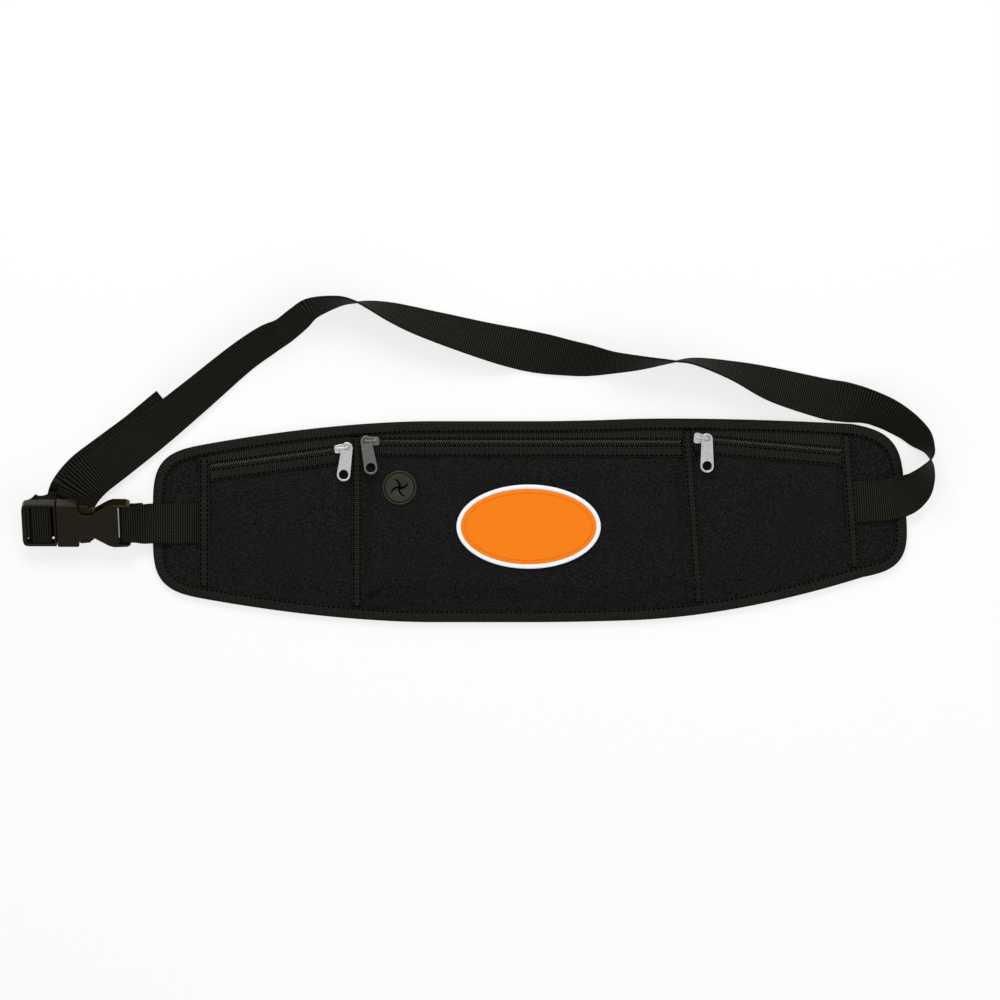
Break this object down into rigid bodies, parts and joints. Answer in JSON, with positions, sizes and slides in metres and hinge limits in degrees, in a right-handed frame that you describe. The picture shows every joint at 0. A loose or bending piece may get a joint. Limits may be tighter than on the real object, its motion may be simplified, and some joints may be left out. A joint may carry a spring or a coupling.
{
  "type": "waist pack",
  "caption": "Slim stretch waist pack with zipped pockets, rubber cable port, bare oval patch and a side-release buckle on a webbing strap, laid flat with the strap looped above it.",
  "frame": {"origin": "middle of the back panel's flat face, in the middle of the pack's length", "axes": "+X along the pack to the end where the strap is sewn, +Y to the zipped edge, +Z out of the front"},
  "size_m": [0.5553, 0.1981, 0.0256],
  "materials": {
    "knit": "fine-gauge stretch knit, matt",
    "woven_tape": "woven tape, matt",
    "zip_nylon": "dyed nylon coil",
    "silver_slider": "plated, satin",
    "dark_slider": "dark plated, satin",
    "port_rubber": "matt moulded rubber",
    "port_ring_plastic": "matt",
    "patch_orange": "soft moulded, matt",
    "patch_border": "soft moulded, matt",
    "buckle_plastic": "moulded acetal, slight sheen",
    "webbing": "ribbed woven webbing"
  },
  "bodies": {
    "pack": {"back_panel": "knit", "pocket_front_left": "knit", "pocket_front_centre": "knit", "pocket_front_right": "knit", "end_panel_left": "knit", "end_panel_right": "knit", "edge_binding": "woven_tape", "seam_tape_left_outer": "woven_tape", "seam_tape_left_divider": "woven_tape", "seam_tape_right_divider": "woven_tape", "seam_tape_right_outer": "woven_tape", "zip_tape_upper_left": "woven_tape", "zip_tape_upper_centre": "woven_tape", "zip_tape_upper_right": "woven_tape", "zip_tape_lower_left": "woven_tape", "zip_tape_lower_centre": "woven_tape", "zip_tape_lower_right": "woven_tape", "pocket_top_binding_left": "woven_tape", "pocket_top_binding_centre": "woven_tape", "pocket_top_binding_right": "woven_tape", "zip_coil_left": "zip_nylon", "zip_coil_centre": "zip_nylon", "zip_coil_right": "zip_nylon", "port_grommet": "port_rubber", "port_backing_ring": "port_ring_plastic", "oval_patch": "patch_orange", "oval_patch_rim": "patch_border", "buckle_socket": "buckle_plastic", "webbing_short": "webbing", "waist_strap": "webbing"},
    "slider_left": {"zip_slider_left": "silver_slider"},
    "pull_left": {"zip_pull_left": "silver_slider"},
    "slider_centre": {"zip_slider_centre": "dark_slider"},
    "pull_centre": {"zip_pull_centre": "dark_slider"},
    "slider_right": {"zip_slider_right": "silver_slider"},
    "pull_right": {"zip_pull_right": "silver_slider"},
    "plug": {"buckle_plug": "buckle_plastic", "strap_tail": "webbing"},
    "arm_far": {"buckle_arm_far": "buckle_plastic"},
    "arm_near": {"buckle_arm_near": "buckle_plastic"}
  },
  "joints": [
    {"name": "zip_left_slide", "type": "slide", "parent": "pack", "child": "slider_left", "axis": [-0.9914, -0.1311, 0], "range_m": [0, 0.0764], "deforming": ["zip_coil_left"]},
    {"name": "pull_left_swivel", "type": "hinge", "parent": "slider_left", "child": "pull_left", "pos_m": [-0.11065, 0.04394, 0.0091], "axis": [0, 0, 1], "range_deg": [-22, 12]},
    {"name": "zip_centre_slide", "type": "slide", "parent": "pack", "child": "slider_centre", "axis": [1, -0.002, 0], "range_m": [0, 0.1843], "deforming": ["zip_coil_centre"]},
    {"name": "pull_centre_swivel", "type": "hinge", "parent": "slider_centre", "child": "pull_centre", "pos_m": [-0.0991, 0.04799, 0.0091], "axis": [0, 0, 1], "range_deg": [-12, 25]},
    {"name": "zip_right_slide", "type": "slide", "parent": "pack", "child": "slider_right", "axis": [0.9961, -0.0883, 0], "range_m": [0, 0.08], "deforming": ["zip_coil_right"]},
    {"name": "pull_right_swivel", "type": "hinge", "parent": "slider_right", "child": "pull_right", "pos_m": [0.10818, 0.04938, 0.0091], "axis": [0, 0, 1], "range_deg": [-35, 90]},
    {"name": "buckle_plug_slide", "type": "slide", "parent": "pack", "child": "plug", "axis": [-1, 0, 0], "range_m": [0, 0.035], "deforming": ["buckle_arm_far", "buckle_arm_near"]},
    {"name": "release_arm_far_squeeze", "type": "hinge", "parent": "plug", "child": "arm_far", "pos_m": [-0.2849, 0.00723, 0.01769], "axis": [0, -0.454, 0.891], "range_deg": [-7.5, 0], "stiffness_Nm_per_rad": 0.4},
    {"name": "release_arm_near_squeeze", "type": "hinge", "parent": "plug", "child": "arm_near", "pos_m": [-0.2849, -0.01077, 0.00852], "axis": [0, -0.454, 0.891], "range_deg": [0, 7.5], "stiffness_Nm_per_rad": 0.4}
  ]
}
